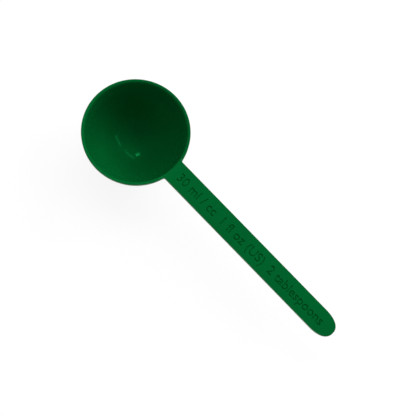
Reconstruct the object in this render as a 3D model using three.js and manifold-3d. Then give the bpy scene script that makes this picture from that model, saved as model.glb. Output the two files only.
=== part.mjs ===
// A kitchen measuring scoop: a deep round bowl, a thin lip round its mouth and a flat strip handle.
// The real scoop is one plastic moulding. It is divided here into its three named parts, which meet
// face to face on flat planes: bowl and rim on a level plane, rim and handle on an upright one.
// Millimetres, +Z up. The origin is the middle of the bowl's flat foot, and +X runs out along the handle.
import * as THREE from "three";
import { mergeVertices } from "three/addons/utils/BufferGeometryUtils.js";
import Module from "manifold-3d";

// Bowl
const bowlDepth = 28; // from the top of the lip down to the lowest point inside
const wallThickness = 1.25; // the same all over, but for the foot
const wallTaper = 10; // degrees that the wall leans out from upright
const footRadius = 3; // flat foot, cut across the outside of the rounded bottom

// Flange: the flat plate that is the lip round the mouth and the handle in one
const flangeThickness = 2;
const flangeEdgeRound = 0.25; // rounding along its outer edges, above and below

// Lip
const lipDiameter = 48; // across the outside
const lipWidth = 1.4; // from the mouth's edge out
const mouthRound = 1.1; // rounding of the mouth's edge

// Handle
const handleReach = 122.2; // from the bowl's axis to the tip
const handleWidth = 10.6;
const rootReach = 2.5; // from the outside of the lip out to the plane where the handle starts
const rootFillet = 0.8; // radius in the corners between lip and handle
const tipLength = 9.4; // length over which the rounded end draws in
const tipFullness = 2.4; // exponent of the end's curve: 2 is an ellipse, more is squarer

// Finish
const plasticColour = 0x025e2a;
const plasticRoughness = 0.4;

// Fineness of the curves
const turnSegments = 96;
const bottomSegments = 12;
const edgeSegments = 4;
const tipSegments = 24;

// Sizes that follow from those above
const lean = THREE.MathUtils.degToRad(wallTaper);
const lipRadius = lipDiameter / 2;
const mouthRadius = lipRadius - lipWidth;
const rootPlane = lipRadius + rootReach;
const halfWidth = handleWidth / 2;

// The bottom is a part of a ball whose inner face touches the leaning wall. The foot's plane is level zero.
const bottomRound = (mouthRadius * Math.cos(lean) - bowlDepth * Math.sin(lean)) / (1 - Math.sin(lean));
const outerRound = bottomRound + wallThickness;
const ballLevel = Math.sqrt(outerRound ** 2 - footRadius ** 2);
const topLevel = ballLevel - bottomRound + bowlDepth;
const lipUnderside = topLevel - flangeThickness;

const innerRadiusAt = (z) => mouthRadius - (topLevel - z) * Math.tan(lean);
const outerRadiusAt = (z) => innerRadiusAt(z) + wallThickness / Math.cos(lean);

// Points along an arc, from one angle to another, both in radians.
function arcPoints(centreX, centreY, radius, from, to, segments) {
  const points = [];
  for (let i = 0; i <= segments; i += 1) {
    const angle = from + ((to - from) * i) / segments;
    points.push(new THREE.Vector2(centreX + radius * Math.cos(angle), centreY + radius * Math.sin(angle)));
  }
  return points;
}

// A closed geometry with shared corners merged and faces of no area dropped.
function closedGeometry(geometry) {
  geometry.deleteAttribute("normal");
  geometry.deleteAttribute("uv");
  const merged = mergeVertices(geometry, 1e-5);
  const corners = merged.index.array;
  const kept = [];
  for (let i = 0; i < corners.length; i += 3) {
    const [a, b, c] = corners.slice(i, i + 3);
    if (a !== b && b !== c && c !== a) {
      kept.push(a, b, c);
    }
  }
  merged.setIndex(kept);
  merged.computeVertexNormals();
  return merged;
}

// A profile of radius and height turned about the Z axis.
function turned(profile) {
  const geometry = new THREE.LatheGeometry(profile, turnSegments);
  geometry.rotateX(Math.PI / 2);
  return closedGeometry(geometry);
}

const wasm = await Module();
wasm.setup();

function solidOf(geometry) {
  const vertProperties = new Float32Array(geometry.attributes.position.array);
  const triVerts = new Uint32Array(geometry.index.array);
  return new wasm.Manifold(new wasm.Mesh({ numProp: 3, vertProperties, triVerts }));
}

function geometryOf(solid) {
  const mesh = solid.getMesh();
  const geometry = new THREE.BufferGeometry();
  geometry.setAttribute("position", new THREE.BufferAttribute(mesh.vertProperties, 3));
  geometry.setIndex(new THREE.BufferAttribute(mesh.triVerts, 1));
  geometry.computeVertexNormals();
  return geometry;
}

function plasticMesh(name, geometry) {
  const material = new THREE.MeshStandardMaterial({
    color: plasticColour,
    roughness: plasticRoughness,
    metalness: 0,
  });
  const mesh = new THREE.Mesh(geometry, material);
  mesh.name = name;
  return mesh;
}

// The cup below the flange: flat foot, rounded bottom and leaning wall.
function bowlGeometry() {
  const footAngle = -Math.acos(footRadius / outerRound);
  const outerArc = arcPoints(0, ballLevel, outerRound, footAngle, -lean, bottomSegments);
  const innerArc = arcPoints(0, ballLevel, bottomRound, -lean, -Math.PI / 2, bottomSegments);
  return turned([
    new THREE.Vector2(0, 0),
    ...outerArc,
    new THREE.Vector2(outerRadiusAt(lipUnderside), lipUnderside),
    new THREE.Vector2(innerRadiusAt(lipUnderside), lipUnderside),
    ...innerArc,
  ]);
}

// The opening through the flange: the wall's inner face carried up, then flared round the mouth's edge.
function mouthGeometry() {
  const clear = flangeThickness;
  const bottom = lipUnderside - clear;
  // The rounding touches the flange's top and the leaning inner face.
  const roundLevel = topLevel - mouthRound;
  const roundRadius = innerRadiusAt(roundLevel) + mouthRound / Math.cos(lean);
  const flare = arcPoints(roundRadius, roundLevel, mouthRound, Math.PI - lean, Math.PI / 2, edgeSegments);
  return turned([
    new THREE.Vector2(0, bottom),
    new THREE.Vector2(innerRadiusAt(bottom), bottom),
    ...flare,
    new THREE.Vector2(roundRadius, topLevel + clear),
    new THREE.Vector2(0, topLevel + clear),
  ]);
}

// The handle's rounded end, from its lower side round to its upper side.
function tipPoints() {
  const points = [];
  for (let i = 0; i <= tipSegments; i += 1) {
    const angle = Math.PI * (i / tipSegments - 0.5);
    const along = Math.abs(Math.cos(angle)) ** (2 / tipFullness);
    const across = Math.sign(angle) * Math.abs(Math.sin(angle)) ** (2 / tipFullness);
    points.push(new THREE.Vector2(handleReach - tipLength + tipLength * along, halfWidth * across));
  }
  return points;
}

// The flange's outline from above: round the lip, out along one side of the handle and back along the other.
function flangeOutline() {
  const filletX = Math.sqrt((lipRadius + rootFillet) ** 2 - (halfWidth + rootFillet) ** 2);
  const filletY = halfWidth + rootFillet;
  const lipAngle = Math.atan2(filletY, filletX);
  const lip = arcPoints(0, 0, lipRadius, lipAngle, 2 * Math.PI - lipAngle, turnSegments);
  const lowerFillet = arcPoints(
    filletX, -filletY, rootFillet, Math.PI - lipAngle, Math.PI / 2, edgeSegments);
  const upperFillet = arcPoints(
    filletX, filletY, rootFillet, -Math.PI / 2, lipAngle - Math.PI, edgeSegments);
  return new THREE.Shape([...lip, ...lowerFillet.slice(1), ...tipPoints(), ...upperFillet.slice(0, -1)]);
}

// The flange in one piece, edges rounded, with no opening yet.
function flangeGeometry() {
  const geometry = new THREE.ExtrudeGeometry(flangeOutline(), {
    depth: flangeThickness - 2 * flangeEdgeRound,
    bevelEnabled: true,
    bevelThickness: flangeEdgeRound,
    bevelSize: flangeEdgeRound,
    bevelOffset: -flangeEdgeRound,
    bevelSegments: edgeSegments,
  });
  geometry.translate(0, 0, lipUnderside + flangeEdgeRound);
  return closedGeometry(geometry);
}

// A block that holds everything beyond the plane where the handle starts.
function beyondRootGeometry() {
  const length = 2 * handleReach;
  const block = new THREE.BoxGeometry(length, 2 * lipDiameter, 2 * topLevel);
  block.translate(rootPlane + length / 2, 0, topLevel);
  return closedGeometry(block);
}

const flange = solidOf(flangeGeometry());
const beyondRoot = solidOf(beyondRootGeometry());
const rim = flange.subtract(beyondRoot).subtract(solidOf(mouthGeometry()));
const handle = flange.intersect(beyondRoot);

const scoop = new THREE.Group();
scoop.add(plasticMesh("bowl", bowlGeometry()));
scoop.add(plasticMesh("rim", geometryOf(rim)));
scoop.add(plasticMesh("handle", geometryOf(handle)));

export default scoop;
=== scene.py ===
"""A green plastic measuring scoop: bowl, rim and handle of one moulding, its measure sunk into the handle.

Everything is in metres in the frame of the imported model: +Z up, +X along the handle, the origin at the foot.
"""
import math

import bmesh
import bpy
from mathutils import Matrix, Vector
from mathutils.geometry import delaunay_2d_cdt


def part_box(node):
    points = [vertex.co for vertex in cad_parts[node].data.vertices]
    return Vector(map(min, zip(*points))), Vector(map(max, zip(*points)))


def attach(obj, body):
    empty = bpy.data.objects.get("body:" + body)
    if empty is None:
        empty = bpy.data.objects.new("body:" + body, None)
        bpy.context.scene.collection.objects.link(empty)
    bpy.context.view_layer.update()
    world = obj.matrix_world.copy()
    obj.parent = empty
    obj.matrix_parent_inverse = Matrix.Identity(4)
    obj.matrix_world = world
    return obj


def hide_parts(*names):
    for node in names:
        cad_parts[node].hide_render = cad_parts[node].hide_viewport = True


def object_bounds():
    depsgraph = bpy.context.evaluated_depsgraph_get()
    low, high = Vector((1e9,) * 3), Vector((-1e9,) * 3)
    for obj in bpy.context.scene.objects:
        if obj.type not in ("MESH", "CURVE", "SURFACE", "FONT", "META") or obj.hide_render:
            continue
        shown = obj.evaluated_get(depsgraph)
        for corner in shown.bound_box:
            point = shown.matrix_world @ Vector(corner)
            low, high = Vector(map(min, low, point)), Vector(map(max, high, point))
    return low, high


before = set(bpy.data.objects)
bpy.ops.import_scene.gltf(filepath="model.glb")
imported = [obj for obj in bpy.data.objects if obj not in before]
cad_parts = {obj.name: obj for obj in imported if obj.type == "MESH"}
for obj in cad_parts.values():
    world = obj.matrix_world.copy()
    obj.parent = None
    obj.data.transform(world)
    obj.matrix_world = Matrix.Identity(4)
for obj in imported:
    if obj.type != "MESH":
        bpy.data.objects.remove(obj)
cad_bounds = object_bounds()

MM = 0.001
UP = Vector((0, 0, 1))

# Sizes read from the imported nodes
bowl_low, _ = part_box("bowl")
rim_low, rim_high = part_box("rim")
_, handle_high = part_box("handle")
FOOT = bowl_low.z
TOP = rim_high.z
LIP_UNDER = rim_low.z
LIP_RADIUS = -rim_low.x
ROOT_PLANE = rim_high.x
REACH = handle_high.x
HALF_WIDTH = handle_high.y

# Sizes of the moulding that a box doesn't tell
BOWL_DEPTH = 28 * MM
WALL = 1.25 * MM
TAPER = math.radians(10)
LIP_WIDTH = 1.4 * MM
MOUTH_FLARE = 0.96 * MM  # rounding of the mouth's edge: how far it reaches out over the lip
MOUTH_DROP = 1.9 * MM  # and how far it reaches down the wall
EDGE_ROUND = 0.25 * MM
ROOT_FILLET = 0.8 * MM
TIP_LENGTH = 9.4 * MM
TIP_FULLNESS = 2.4  # exponent of the end's curve: 2 is an ellipse, more is squarer
UNDER_LIP_FILLET = 0.25 * MM
FLAT_MARGIN = 0.05 * MM  # strip beside each rounding that keeps the flat faces flat in shading

# Marks of the moulding tool, on sides that the photograph doesn't show
GATE_PROFILE = (  # broken stub in a shallow hollow, from the middle out: radius, and height above the foot
    (0, 0.1 * MM),
    (0.385 * MM, 0.1 * MM),
    (0.5225 * MM, 0.13 * MM),
    (0.55 * MM, 0.25 * MM),
    (1.36 * MM, 0.25 * MM),
    (1.615 * MM, 0.15 * MM),
    (1.7 * MM, 0),
)
PIN_RADIUS = 2 * MM
PIN_DEPTH = 0.08 * MM
PIN_PLACES = (36 * MM, 74 * MM, 110 * MM)

# The measure, sunk into the handle's face: words and their middle along the handle
MARKS = (
    ("30 ml / cc", 38.7 * MM),
    ("1 fl oz (US)", 66.7 * MM),
    ("2 tablespoons", 99.5 * MM),
)
CAPITAL_HEIGHT = 4 * MM
CAPITAL_SHARE = 0.682  # height of a capital in the font, as a share of the font's size
MARK_DEPTH = 0.45 * MM

# Fineness of the meshes
TURN_STEPS = 192
BOTTOM_STEPS = 40
ROUND_STEPS = 8
MOUTH_STEPS = 16
TIP_STEPS = 64
PIN_STEPS = 48
LETTER_STEPS = 4
SMALLEST_GAP = 0.0001 * MM  # points closer than this are one
FACES_WITH_HOLES = 5  # the kind of filling that is asked of delaunay_2d_cdt
SHARP_ANGLE = math.radians(35)  # edges that turn by more than this stay sharp in shading

# Finish of the plastic
PLASTIC_COLOUR = (0.0006, 0.112, 0.0232)
SHEEN_TINT = (0.01, 1.0, 0.25)
REFRACTION = 1.49
NOISE_SPAN = (0.3, 0.7)  # most values of a noise lie between these
NOISE_DETAIL = 2
DRIFT_SCALE = 45  # slow drift of shade; a scale is about the number of waves in a metre
DRIFT_RANGE = (0.94, 1.06)
SPECK_SCALE = 1800
SPECK_RANGE = (0.97, 1.03)
RUB_SCALE = 160  # patches of more and less polish
RUB_DETAIL = 4
RUB_STRETCH = (0.25, 1, 1)  # longer along the handle than across
POLISH_RANGE = (0.09, 0.13)  # roughness of the faces that look up
LOWER_DULLNESS = 4.5  # how many times rougher the upright faces are, and those that look down
PARTING = 0.15  # faces that look up by less than this lie between the two finishes
GRAIN_SCALE = 3500
GRAIN_STRENGTH = 0.25
GRAIN_HEIGHT = 0.012 * MM
PEEL_SCALE = 420  # slow unevenness of the surface
PEEL_STRENGTH = 0.3
PEEL_HEIGHT = 0.02 * MM

# Studio
FLOOR_COLOUR = 0.8
FLOOR_SEEN_COLOUR = 0.14  # the part of the floor's white that shadows darken, when it is looked at
FLOOR_SEEN_GLOW = 0.88  # the part that they don't
FLOOR_RADIUS = 3.0
SWEEP_ROUND = 0.3  # radius of the curve from the floor up to the backdrop
BACKDROP_HEIGHT = 0.4
WORLD_LEVEL = 0.09

# Soft lamps round the scoop: azimuth from +X towards +Y and elevation, in degrees, and power
SOFT_LAMPS = (
    ("right_lamp", 60, 42, 3.4),
    ("back_lamp", 90, 28, 3.4),
    ("high_lamp", 135, 62, 3.2),
    ("left_lamp", 175, 28, 1.6),
    ("front_lamp", 270, 30, 1.5),
)
SOFT_LAMP_DISTANCE = 0.9
SOFT_LAMP_SIZE = (0.7, 0.4)

# Two thin tubes and a small lamp that glint in the bowl, with their places as shares of their height
GLINT_HEIGHT = 0.55  # above the bowl's floor
TUBES = (  # power for each metre, and the two ends
    ("left_tube", 0.18, (-0.66, 0.72), (0.06, 0.72)),
    ("right_tube", 0.23, (0.23, 0.74), (1.35, 0.74)),
)
TUBE_WIDTH = 0.03
SPOT_PLACE = (-0.545, 0.385)
SPOT_ALONG = (0.32, 0.95, 0)  # the way that its long side runs
SPOT_SIZE = (0.1, 0.045)
SPOT_POWER = 0.1

# The photograph's camera
CAMERA_AIM = (46.14 * MM, -0.83 * MM)  # the point on the lip's level that it looks at
CAMERA_AZIMUTH = math.radians(-69.66)
CAMERA_ELEVATION = math.radians(78.54)
CAMERA_ROLL = math.radians(25.79)
CAMERA_DISTANCE = 395.8 * MM
CAMERA_LENS = 78.83  # lens and sensor in millimetres, as Blender has them
CAMERA_SENSOR = 36
CAMERA_NEAR = 10 * MM

# The rounded bottom, part of a ball, and the flat foot cut across it
INNER_TOP = LIP_RADIUS - LIP_WIDTH
BOWL_FLOOR = TOP - BOWL_DEPTH
BOTTOM_ROUND = (INNER_TOP * math.cos(TAPER) - BOWL_DEPTH * math.sin(TAPER)) / (1 - math.sin(TAPER))
OUTER_ROUND = BOTTOM_ROUND + WALL
BALL_LEVEL = BOWL_FLOOR + BOTTOM_ROUND
FOOT_ANGLE = -math.asin((BALL_LEVEL - FOOT) / OUTER_ROUND)


def inner_radius(z):
    """Radius of the wall's inner face at a height, on its straight stretch."""
    return INNER_TOP - (TOP - z) * math.tan(TAPER)


def outer_radius(z):
    """Radius of the wall's outer face at a height, on its straight stretch."""
    return inner_radius(z) + WALL / math.cos(TAPER)


def arc(centre, radius, start, end, steps):
    """Points along an arc in a plane, from one angle to another in radians."""
    angles = [start + (end - start) * i / steps for i in range(steps + 1)]
    return [(centre[0] + radius * math.cos(a), centre[1] + radius * math.sin(a)) for a in angles]


def direction(azimuth, elevation):
    """The unit vector at an azimuth, from +X towards +Y, and an elevation."""
    level = Vector((math.cos(azimuth), math.sin(azimuth), 0))
    return level * math.cos(elevation) + UP * math.sin(elevation)


def new_object(name, data):
    """A new object in the scene."""
    thing = bpy.data.objects.new(name, data)
    bpy.context.scene.collection.objects.link(thing)
    return thing


def new_mesh(name, builder):
    """A mesh from a bmesh, which is then freed."""
    mesh = bpy.data.meshes.new(name)
    builder.to_mesh(mesh)
    builder.free()
    return mesh


def closed_mesh(name, builder):
    """A mesh from a bmesh of a closed surface, with its faces turned outwards."""
    bmesh.ops.recalc_face_normals(builder, faces=builder.faces)
    return new_mesh(name, builder)


def smooth(mesh):
    """Shades a mesh smooth but for its real edges."""
    mesh.shade_smooth()
    mesh.set_sharp_from_angle(angle=SHARP_ANGLE)


def new_piece(name, builder):
    """A piece of the scoop from a bmesh of its closed surface."""
    mesh = closed_mesh(name, builder)
    smooth(mesh)
    return new_object(name, mesh)


def turned(builder, profile):
    """Turns a profile of radius and height about the Z axis. Returns the rings of vertices."""
    rings = []
    for radius, height in profile:
        if radius < SMALLEST_GAP:
            rings.append([builder.verts.new((0, 0, height))])
            continue
        ring = []
        for i in range(TURN_STEPS):
            angle = 2 * math.pi * i / TURN_STEPS
            ring.append(builder.verts.new((radius * math.cos(angle), radius * math.sin(angle), height)))
        rings.append(ring)
    for lower, upper in zip(rings, rings[1:]):
        for i in range(TURN_STEPS):
            j = (i + 1) % TURN_STEPS
            places = ((lower, i), (lower, j), (upper, j), (upper, i))
            corners = [ring[place % len(ring)] for ring, place in places]
            # A ring on the axis is a single point, so it comes up twice and is taken once.
            builder.faces.new(list(dict.fromkeys(corners)))
    return rings


def make_bowl():
    """The cup below the lip, with the gate's mark under its foot and a small fillet under the lip."""
    ball_centre = (0, BALL_LEVEL)
    gate = [(radius, FOOT + height) for radius, height in GATE_PROFILE]
    outer = arc(ball_centre, OUTER_ROUND, FOOT_ANGLE, -TAPER, BOTTOM_STEPS)
    fillet_level = LIP_UNDER - UNDER_LIP_FILLET
    fillet_radius = outer_radius(fillet_level) + UNDER_LIP_FILLET / math.cos(TAPER)
    fillet_centre = (fillet_radius, fillet_level)
    fillet = arc(fillet_centre, UNDER_LIP_FILLET, math.pi - TAPER, math.pi / 2, ROUND_STEPS)
    inner = arc(ball_centre, BOTTOM_ROUND, -TAPER, -math.pi / 2, BOTTOM_STEPS)
    builder = bmesh.new()
    turned(builder, [*gate, *outer, *fillet, (inner_radius(LIP_UNDER), LIP_UNDER), *inner])
    return new_piece("scoop_bowl", builder)


def root_fillet():
    """Middle of the upper root fillet, and the angle round the lip at which it starts."""
    across = HALF_WIDTH + ROOT_FILLET
    along = math.sqrt((LIP_RADIUS + ROOT_FILLET) ** 2 - across**2)
    return along, across, math.atan2(across, along)


def lip_outline():
    """The flange's outline on the rim's side of the root plane: point and outward direction at each step."""
    along, across, start = root_fillet()
    steps = [((ROOT_PLANE, HALF_WIDTH), (0, 1))]
    for i in range(ROUND_STEPS):
        angle = -math.pi / 2 + (start - math.pi / 2) * i / ROUND_STEPS
        out = (-math.cos(angle), -math.sin(angle))
        steps.append(((along - ROOT_FILLET * out[0], across - ROOT_FILLET * out[1]), out))
    for i in range(TURN_STEPS + 1):
        angle = start + (2 * math.pi - 2 * start) * i / TURN_STEPS
        out = (math.cos(angle), math.sin(angle))
        steps.append(((LIP_RADIUS * out[0], LIP_RADIUS * out[1]), out))
    upper = steps[: ROUND_STEPS + 1]
    lower = [((x, -y), (u, -v)) for (x, y), (u, v) in reversed(upper)]
    return steps + lower


def handle_outline():
    """The flange's outline beyond the root plane: point and outward direction at each step."""
    power = 2 / TIP_FULLNESS
    points = [(ROOT_PLANE, -HALF_WIDTH)]
    for i in range(TIP_STEPS + 1):
        angle = math.pi * (i / TIP_STEPS - 0.5)
        along = max(math.cos(angle), 0) ** power
        across = math.copysign(abs(math.sin(angle)) ** power, angle)
        points.append((REACH - TIP_LENGTH * (1 - along), HALF_WIDTH * across))
    points.append((ROOT_PLANE, HALF_WIDTH))
    steps = []
    for i, point in enumerate(points):
        before = Vector(points[max(i - 1, 0)])
        after = Vector(points[min(i + 1, len(points) - 1)])
        run = (after - before).normalized()
        steps.append((point, (run.y, -run.x)))
    # Where the straight sides run into the rounded end, outward is straight across the handle.
    steps[1] = (steps[1][0], (0, -1))
    steps[-2] = (steps[-2][0], (0, 1))
    return steps


def edge_section():
    """The flange's rounded edge, from below to above: how far in from the outline, and the height."""
    below = arc((EDGE_ROUND, LIP_UNDER + EDGE_ROUND), EDGE_ROUND, -math.pi / 2, -math.pi, ROUND_STEPS)
    above = arc((EDGE_ROUND, TOP - EDGE_ROUND), EDGE_ROUND, math.pi, math.pi / 2, ROUND_STEPS)
    flat = EDGE_ROUND + FLAT_MARGIN
    return [(flat, LIP_UNDER), *below, *above, (flat, TOP)]


def edge_band(builder, outline):
    """Faces along the rounded edge. Returns the rows of vertices, one for each step of the outline."""
    section = edge_section()
    rows = []
    for (x, y), (u, v) in outline:
        rows.append([builder.verts.new((x - u * inset, y - v * inset, z)) for inset, z in section])
    for first, second in zip(rows, rows[1:]):
        for i in range(len(section) - 1):
            builder.faces.new((first[i], second[i], second[i + 1], first[i + 1]))
    return rows


def fill_flat(builder, *loops):
    """Fills the flat area inside the first loop of vertices and outside the others."""
    edges = []
    for loop in loops:
        for pair in zip(loop, [*loop[1:], loop[0]]):
            edges.append(builder.edges.get(pair) or builder.edges.new(pair))
    bmesh.ops.triangle_fill(builder, use_beauty=True, use_dissolve=False, edges=edges)


def mouth_profile():
    """The opening, from below the lip to its top. Its edge is one soft curve that touches wall and top."""
    start = Vector((inner_radius(TOP - MOUTH_DROP), TOP - MOUTH_DROP))
    corner = Vector((INNER_TOP, TOP))
    end = Vector((INNER_TOP + MOUTH_FLARE, TOP))
    shares = [i / MOUTH_STEPS for i in range(MOUTH_STEPS + 1)]
    return [
        (inner_radius(LIP_UNDER) + FLAT_MARGIN, LIP_UNDER),
        (inner_radius(LIP_UNDER), LIP_UNDER),
        *(tuple((1 - t) ** 2 * start + 2 * t * (1 - t) * corner + t**2 * end) for t in shares),
        (INNER_TOP + MOUTH_FLARE + FLAT_MARGIN, TOP),
    ]


def make_rim():
    """The lip with the short root that carries the handle."""
    builder = bmesh.new()
    rows = edge_band(builder, lip_outline())
    builder.faces.new([*rows[0], *reversed(rows[-1])])
    rings = turned(builder, mouth_profile())
    fill_flat(builder, [row[-1] for row in rows], rings[-1])
    fill_flat(builder, [row[0] for row in rows], rings[0])
    return new_piece("scoop_rim", builder)


def make_handle():
    """The strip, with its measure sunk into its face and the tool's pin marks under it."""
    builder = bmesh.new()
    rows = edge_band(builder, handle_outline())
    builder.faces.new([*rows[0], *reversed(rows[-1])])
    fill_flat(builder, [row[-1] for row in rows])
    fill_flat(builder, [row[0] for row in rows])
    handle = new_piece("scoop_handle", builder)
    for words, middle in MARKS:
        carve(handle, word_block(words, middle))
    for place in PIN_PLACES:
        carve(handle, pin_block(place))
    smooth(handle.data)
    return handle


def word_block(words, middle):
    """A closed block in the shape of some words, from the floor of their marks to above the handle's face."""
    curve = bpy.data.curves.new("words", "FONT")
    curve.body = words
    curve.size = CAPITAL_HEIGHT / CAPITAL_SHARE
    curve.align_x = "CENTER"
    curve.fill_mode = "NONE"
    curve.resolution_u = LETTER_STEPS
    source = new_object("words", curve)
    bpy.context.view_layer.update()
    outline = source.evaluated_get(bpy.context.evaluated_depsgraph_get()).to_mesh()
    corners = [vertex.co.to_2d() for vertex in outline.vertices]
    # The side that closes each ring of a letter runs from its last corner back to its first.
    ends = [tuple(edge.vertices) for edge in outline.edges]
    rings = [list(range(first, last + 1)) for last, first in ends if first < last]
    bpy.data.objects.remove(source)
    corners, _, faces, *_ = delaunay_2d_cdt(corners, [], rings, FACES_WITH_HOLES, SMALLEST_GAP)

    builder = bmesh.new()
    origin = Vector((middle, -CAPITAL_HEIGHT / 2, TOP - MARK_DEPTH))
    placed = [builder.verts.new(origin + corner.to_3d()) for corner in corners]
    for face in faces:
        builder.faces.new([placed[i] for i in face])
    block = bmesh.ops.extrude_face_region(builder, geom=builder.faces[:])
    raised = [part for part in block["geom"] if isinstance(part, bmesh.types.BMVert)]
    bmesh.ops.translate(builder, verts=raised, vec=2 * MARK_DEPTH * UP)
    return closed_mesh("block", builder)


def pin_block(place):
    """A shallow round block for one pin mark under the handle."""
    builder = bmesh.new()
    bmesh.ops.create_cone(
        builder, cap_ends=True, segments=PIN_STEPS,
        radius1=PIN_RADIUS, radius2=PIN_RADIUS, depth=2 * PIN_DEPTH,
        matrix=Matrix.Translation((place, 0, LIP_UNDER)),
    )
    return closed_mesh("block", builder)


def carve(piece, cutter_mesh):
    """Cuts a closed mesh out of a piece."""
    cutter = new_object("cutter", cutter_mesh)
    cut = piece.modifiers.new("cut", "BOOLEAN")
    cut.operation = "DIFFERENCE"
    cut.solver = "EXACT"
    cut.object = cutter
    bpy.context.view_layer.update()
    evaluated = piece.evaluated_get(bpy.context.evaluated_depsgraph_get())
    carved = bpy.data.meshes.new_from_object(evaluated)
    piece.modifiers.clear()
    uncut = piece.data
    piece.data = carved
    bpy.data.meshes.remove(uncut)
    bpy.data.objects.remove(cutter)
    bpy.data.meshes.remove(cutter_mesh)


def add_node(tree, kind, inputs=None, **settings):
    """A new node with its settings. An input is given a value, or linked to another node's output."""
    node = tree.nodes.new(kind)
    for name, value in settings.items():
        setattr(node, name, value)
    for name, value in (inputs or {}).items():
        if isinstance(value, bpy.types.NodeSocket):
            tree.links.new(value, node.inputs[name])
        else:
            node.inputs[name].default_value = value
    return node


def grey(level):
    """An opaque grey of a level from 0 to 1."""
    return (level, level, level, 1)


def noise(tree, place, scale, detail=NOISE_DETAIL, stretch=(1, 1, 1)):
    """A noise in the part's own coordinates. Returns its value."""
    mapping = add_node(tree, "ShaderNodeMapping", {"Vector": place, "Scale": stretch})
    inputs = {"Vector": mapping.outputs["Vector"], "Scale": scale, "Detail": detail}
    return add_node(tree, "ShaderNodeTexNoise", inputs).outputs["Fac"]


def spread(tree, value, old, new):
    """A value carried over from an old range to a new one, and held at the ends of that."""
    inputs = {"Value": value}
    inputs["From Min"], inputs["From Max"] = old
    inputs["To Min"], inputs["To Max"] = new
    return add_node(tree, "ShaderNodeMapRange", inputs).outputs["Result"]


def times(tree, first, second):
    """The product of two values."""
    return add_node(tree, "ShaderNodeMath", {0: first, 1: second}, operation="MULTIPLY").outputs["Value"]


def plastic_material():
    """Moulded plastic: slow drift of shade, fine specks, the moulding's faint grain, and two finishes."""
    material = bpy.data.materials.new("green_plastic")
    material.use_nodes = True
    tree = material.node_tree
    shader = tree.nodes["Principled BSDF"]
    coordinates = add_node(tree, "ShaderNodeTexCoord")
    place = coordinates.outputs["Object"]

    drift = spread(tree, noise(tree, place, DRIFT_SCALE), NOISE_SPAN, DRIFT_RANGE)
    specks = spread(tree, noise(tree, place, SPECK_SCALE), NOISE_SPAN, SPECK_RANGE)
    shades = {0: PLASTIC_COLOUR, "Scale": times(tree, drift, specks)}
    colour = add_node(tree, "ShaderNodeVectorMath", shades, operation="SCALE")
    tree.links.new(colour.outputs["Vector"], shader.inputs["Base Color"])

    # The half of the mould under the lip leaves the plastic duller than the polished half above it.
    facing = add_node(tree, "ShaderNodeSeparateXYZ", {"Vector": coordinates.outputs["Normal"]})
    dullness = spread(tree, facing.outputs["Z"], (0, PARTING), (LOWER_DULLNESS, 1))
    rub = noise(tree, place, RUB_SCALE, RUB_DETAIL, RUB_STRETCH)
    roughness = times(tree, spread(tree, rub, NOISE_SPAN, POLISH_RANGE), dullness)
    tree.links.new(roughness, shader.inputs["Roughness"])

    grain = add_node(tree, "ShaderNodeBump", {"Strength": GRAIN_STRENGTH, "Distance": GRAIN_HEIGHT})
    tree.links.new(noise(tree, place, GRAIN_SCALE), grain.inputs["Height"])
    peel = add_node(tree, "ShaderNodeBump", {"Strength": PEEL_STRENGTH, "Distance": PEEL_HEIGHT})
    tree.links.new(noise(tree, place, PEEL_SCALE), peel.inputs["Height"])
    tree.links.new(grain.outputs["Normal"], peel.inputs["Normal"])
    tree.links.new(peel.outputs["Normal"], shader.inputs["Normal"])

    shader.inputs["IOR"].default_value = REFRACTION
    shader.inputs["Specular Tint"].default_value = (*SHEEN_TINT, 1)
    return material


def floor_material():
    """A pale floor to the light that it throws back, and nearly white to the eye and in reflections."""
    material = bpy.data.materials.new("pale_floor")
    material.use_nodes = True
    tree = material.node_tree
    tree.nodes.clear()
    paths = add_node(tree, "ShaderNodeLightPath")
    seen = paths.outputs["Is Camera Ray"]
    for ray in ("Is Glossy Ray", "Is Transmission Ray"):
        either = add_node(tree, "ShaderNodeMath", {0: seen, 1: paths.outputs[ray]}, operation="MAXIMUM")
        seen = either.outputs["Value"]
    plain = add_node(tree, "ShaderNodeBsdfDiffuse", {"Color": grey(FLOOR_COLOUR)})
    shaded = add_node(tree, "ShaderNodeBsdfDiffuse", {"Color": grey(FLOOR_SEEN_COLOUR)})
    glow = add_node(tree, "ShaderNodeEmission", {"Strength": FLOOR_SEEN_GLOW})
    white = add_node(tree, "ShaderNodeAddShader", {0: shaded.outputs["BSDF"], 1: glow.outputs["Emission"]})
    looks = {"Fac": seen, 1: plain.outputs["BSDF"], 2: white.outputs["Shader"]}
    mix = add_node(tree, "ShaderNodeMixShader", looks)
    add_node(tree, "ShaderNodeOutputMaterial", {"Surface": mix.outputs["Shader"]})
    return material


def make_floor():
    """The floor, swept up into a low round backdrop. It looks white and still takes the scoop's shadow."""
    sweep_centre = (FLOOR_RADIUS - SWEEP_ROUND, FOOT + SWEEP_ROUND)
    sweep = arc(sweep_centre, SWEEP_ROUND, -math.pi / 2, 0, ROUND_STEPS)
    builder = bmesh.new()
    turned(builder, [(0, FOOT), *sweep, (FLOOR_RADIUS, FOOT + BACKDROP_HEIGHT)])
    mesh = new_mesh("floor", builder)
    mesh.shade_smooth()
    mesh.materials.append(floor_material())
    floor = new_object("floor", mesh)


def make_world():
    """Even soft light from all round."""
    world = bpy.data.worlds.new("soft_surroundings")
    world.use_nodes = True
    background = world.node_tree.nodes["Background"]
    background.inputs["Color"].default_value = grey(1)
    background.inputs["Strength"].default_value = WORLD_LEVEL
    bpy.context.scene.world = world


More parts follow.
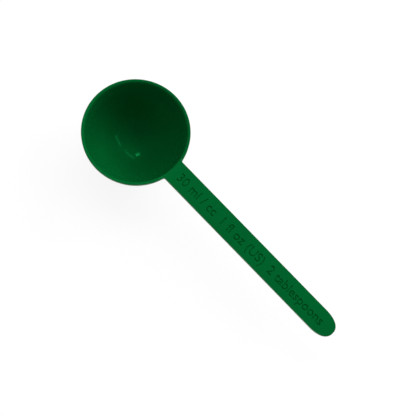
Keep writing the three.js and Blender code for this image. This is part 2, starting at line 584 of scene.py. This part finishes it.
def make_lamp(name, place, target, along, size, power):
    """A rectangular lamp that faces a point, with its long side as near as can be to a direction."""
    data = bpy.data.lights.new(name, "AREA")
    data.shape = "RECTANGLE"
    data.size, data.size_y = size
    data.energy = power
    lamp = new_object(name, data)
    back = (Vector(place) - Vector(target)).normalized()
    along = Vector(along)
    along = (along - back * along.dot(back)).normalized()
    turn = Matrix((along, back.cross(along), back)).transposed()
    lamp.matrix_world = Matrix.Translation(place) @ turn.to_4x4()
    return lamp


def make_lights():
    """The soft lamps round the scoop, and the lamps that glint in the bowl."""
    middle = Vector(((cad_bounds[0].x + cad_bounds[1].x) / 2, 0, TOP))
    for name, azimuth, elevation, power in SOFT_LAMPS:
        out = direction(math.radians(azimuth), math.radians(elevation))
        place = middle + SOFT_LAMP_DISTANCE * out
        lamp = make_lamp(name, place, middle, out.cross(UP), SOFT_LAMP_SIZE, power)
        lamp.visible_glossy = False
    bowl_floor = Vector((0, 0, BOWL_FLOOR))
    for name, power, *ends in TUBES:
        first, last = (bowl_floor + GLINT_HEIGHT * Vector((*shares, 1)) for shares in ends)
        run = last - first
        make_lamp(name, first + run / 2, bowl_floor, run, (run.length, TUBE_WIDTH), power * run.length)
    spot_place = bowl_floor + GLINT_HEIGHT * Vector((*SPOT_PLACE, 1))
    make_lamp("spot_lamp", spot_place, bowl_floor, SPOT_ALONG, SPOT_SIZE, SPOT_POWER)


def make_camera():
    """The camera at the photograph's angle."""
    data = bpy.data.cameras.new("photo_camera")
    data.sensor_width = CAMERA_SENSOR
    data.lens = CAMERA_LENS
    data.clip_start = CAMERA_NEAR
    camera = new_object("photo_camera", data)
    back = direction(CAMERA_AZIMUTH, CAMERA_ELEVATION)
    place = Vector((*CAMERA_AIM, TOP)) + CAMERA_DISTANCE * back
    upright = back.to_track_quat("Z", "Y").to_matrix().to_4x4()
    camera.matrix_world = Matrix.Translation(place) @ upright @ Matrix.Rotation(CAMERA_ROLL, 4, "Z")
    bpy.context.scene.camera = camera


plastic = plastic_material()
for piece, node in ((make_bowl(), "bowl"), (make_rim(), "rim"), (make_handle(), "handle")):
    piece.data.materials.clear()
    piece.data.materials.append(plastic)
    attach(piece, "root")
    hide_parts(node)

make_floor()
make_world()
make_lights()
make_camera()
bpy.context.scene.view_settings.view_transform = "Standard"
